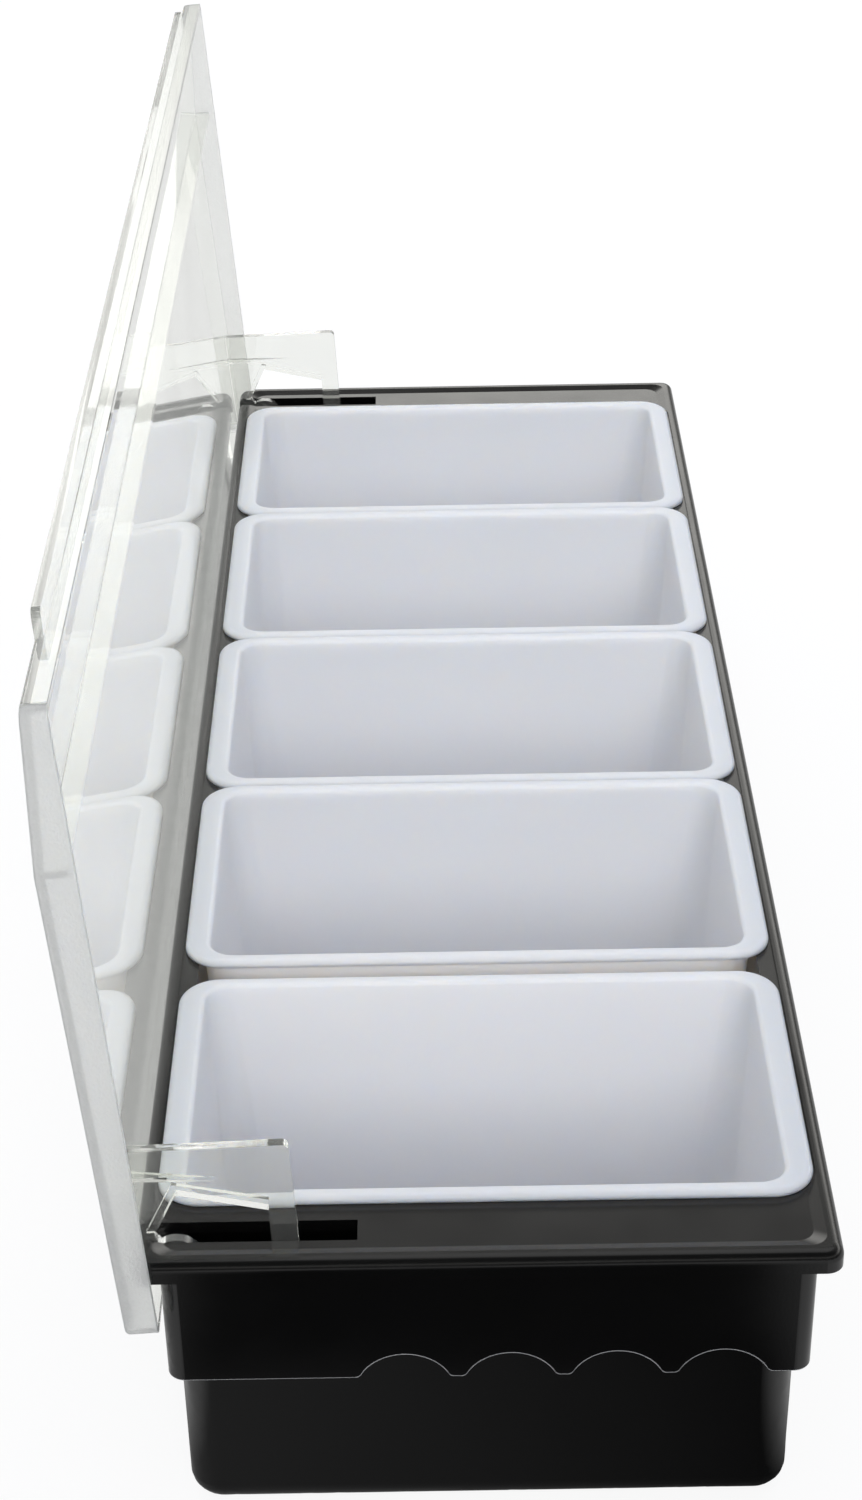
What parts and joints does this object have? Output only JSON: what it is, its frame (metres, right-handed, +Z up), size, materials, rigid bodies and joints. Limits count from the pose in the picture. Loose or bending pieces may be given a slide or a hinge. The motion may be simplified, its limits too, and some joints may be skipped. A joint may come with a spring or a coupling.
{
  "type": "divided snack box with hinged lid",
  "caption": "Long black serving box with lift-out white trays in a row and a clear lid hinged along the back, for snacks or garnishes kept cold over ice.",
  "frame": {"origin": "centre of the flat underside of the box", "axes": "+Z up; +X along the box, with the pictured end at -X; +Y towards the back, where the lid is hinged"},
  "size_m": [0.5004, 0.1684, 0.2346],
  "materials": {
    "black_plastic": "gloss",
    "white_plastic": "satin",
    "clear_plastic": "gloss"
  },
  "bodies": {
    "box": {"base": "black_plastic"},
    "cup_1": {"tray_1": "white_plastic"},
    "cup_2": {"tray_2": "white_plastic"},
    "cup_3": {"tray_3": "white_plastic"},
    "cup_4": {"tray_4": "white_plastic"},
    "cup_5": {"tray_5": "white_plastic"},
    "cover": {"lid": "clear_plastic"}
  },
  "joints": [
    {"name": "lid_hinge", "type": "hinge", "parent": "box", "child": "cover", "pos_m": [0, 0.0685, 0.084], "axis": [-1, 0, 0], "range_deg": [-94, 0]},
    {"name": "tray_1_lift", "type": "slide", "parent": "box", "child": "cup_1", "axis": [0, 0, 1], "range_m": [0, 0.09]},
    {"name": "tray_2_lift", "type": "slide", "parent": "box", "child": "cup_2", "axis": [0, 0, 1], "range_m": [0, 0.09]},
    {"name": "tray_3_lift", "type": "slide", "parent": "box", "child": "cup_3", "axis": [0, 0, 1], "range_m": [0, 0.09]},
    {"name": "tray_4_lift", "type": "slide", "parent": "box", "child": "cup_4", "axis": [0, 0, 1], "range_m": [0, 0.09]},
    {"name": "tray_5_lift", "type": "slide", "parent": "box", "child": "cup_5", "axis": [0, 0, 1], "range_m": [0, 0.09]}
  ]
}
